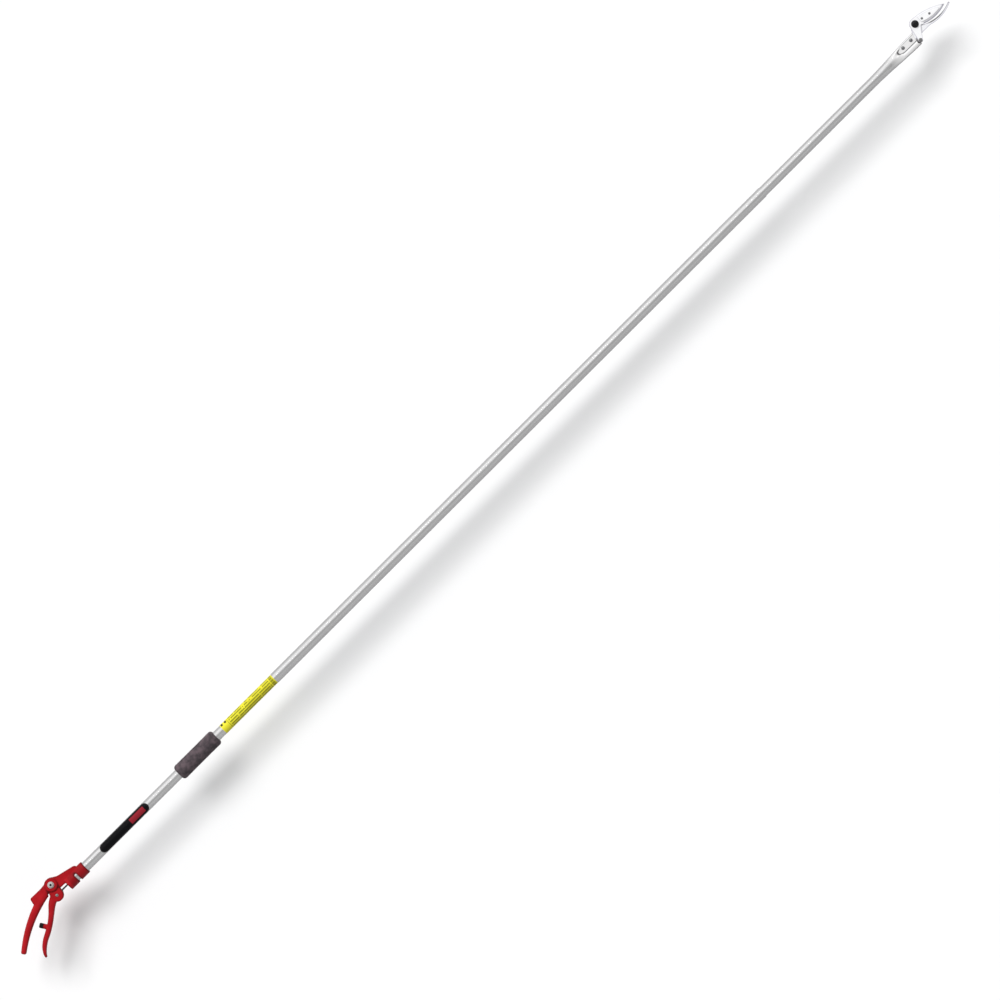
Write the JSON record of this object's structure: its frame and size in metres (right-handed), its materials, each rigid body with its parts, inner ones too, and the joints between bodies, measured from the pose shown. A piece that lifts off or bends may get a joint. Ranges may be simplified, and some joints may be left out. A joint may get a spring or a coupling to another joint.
{
  "type": "long-reach pole pruner",
  "caption": "Long-reach bypass pruner on a fixed jointed pole: squeeze handle, foam grip, pull rod inside the tubes, small cut-and-hold head.",
  "frame": {"origin": "on the pole's axis, at the middle of the main tube", "axes": "+X along the pole towards the cutting head, +Z out of the side that the pivot bolts' heads are on, +Y towards the side of the two pivots"},
  "size_m": [3.01, 0.1254, 0.0413],
  "materials": {
    "red_coating": "gloss red powder coat on cast aluminium",
    "black_rubber": "matte moulded rubber",
    "bronze": "sintered bronze",
    "plated_steel": "bright zinc plate",
    "steel": "plain drawn steel",
    "black_steel": "black oxide on steel",
    "aluminium_tube": "satin drawn aluminium",
    "label_film": "gloss printed film",
    "yellow_film": "satin printed film",
    "foam": "closed-cell foam, fine grain",
    "guide_foam": "dense foam",
    "black_plastic": "moulded nylon",
    "plated_plate": "stamped, bright plated steel",
    "blade_steel": "ground blade steel",
    "hold_steel": "stamped stainless plate"
  },
  "bodies": {
    "pole": {"handle_frame": "red_coating", "pivot_bolt": "plated_steel", "pivot_washers": "plated_steel", "pivot_nut": "plated_steel", "socket_screw": "black_steel", "lower_tube": "aluminium_tube", "main_tube": "aluminium_tube", "upper_tube": "aluminium_tube", "name_label": "label_film", "foam_grip": "foam", "yellow_band": "yellow_film", "spring_seat": "black_plastic", "return_spring": "steel", "head_bracket": "plated_plate", "bracket_rivets": "steel", "head_bolt": "black_steel", "head_washer": "steel", "head_nut": "black_steel"},
    "lever": {"trigger_lever": "red_coating", "lever_bumper": "black_rubber", "pivot_bush": "bronze", "rod_pin": "steel", "rod_pin_clip": "steel"},
    "rod": {"pull_rod": "steel", "handle_rod_eye": "steel", "rod_guides": "guide_foam", "rod_coupler": "steel", "head_link": "steel", "spring_collar": "steel"},
    "blade": {"cutting_blade": "blade_steel", "hold_plate": "hold_steel", "hold_rivets": "steel", "tang_pin": "steel", "tang_pin_clip": "steel"}
  },
  "joints": [
    {"name": "lever_squeeze", "type": "hinge", "parent": "pole", "child": "lever", "pos_m": [-1.4682, 0.02631, 0], "axis": [0, 0, -1], "range_deg": [0, 7], "stiffness_Nm_per_rad": 4.15, "springref_deg": -14.32, "deforming": ["return_spring"]},
    {"name": "rod_swing", "type": "hinge", "parent": "lever", "child": "rod", "pos_m": [-1.4751, 0, 0], "axis": [0, 0, -1], "range_deg": [-7.01, 0]},
    {"name": "blade_close", "type": "hinge", "parent": "pole", "child": "blade", "pos_m": [1.293, 0.026, 0], "axis": [0, 0, -1], "range_deg": [0, 5.32]}
  ],
  "couplings": [
    {"joint": "rod_swing", "follows": "lever_squeeze", "ratio": -1.0018},
    {"joint": "blade_close", "follows": "lever_squeeze", "ratio": 0.76}
  ]
}
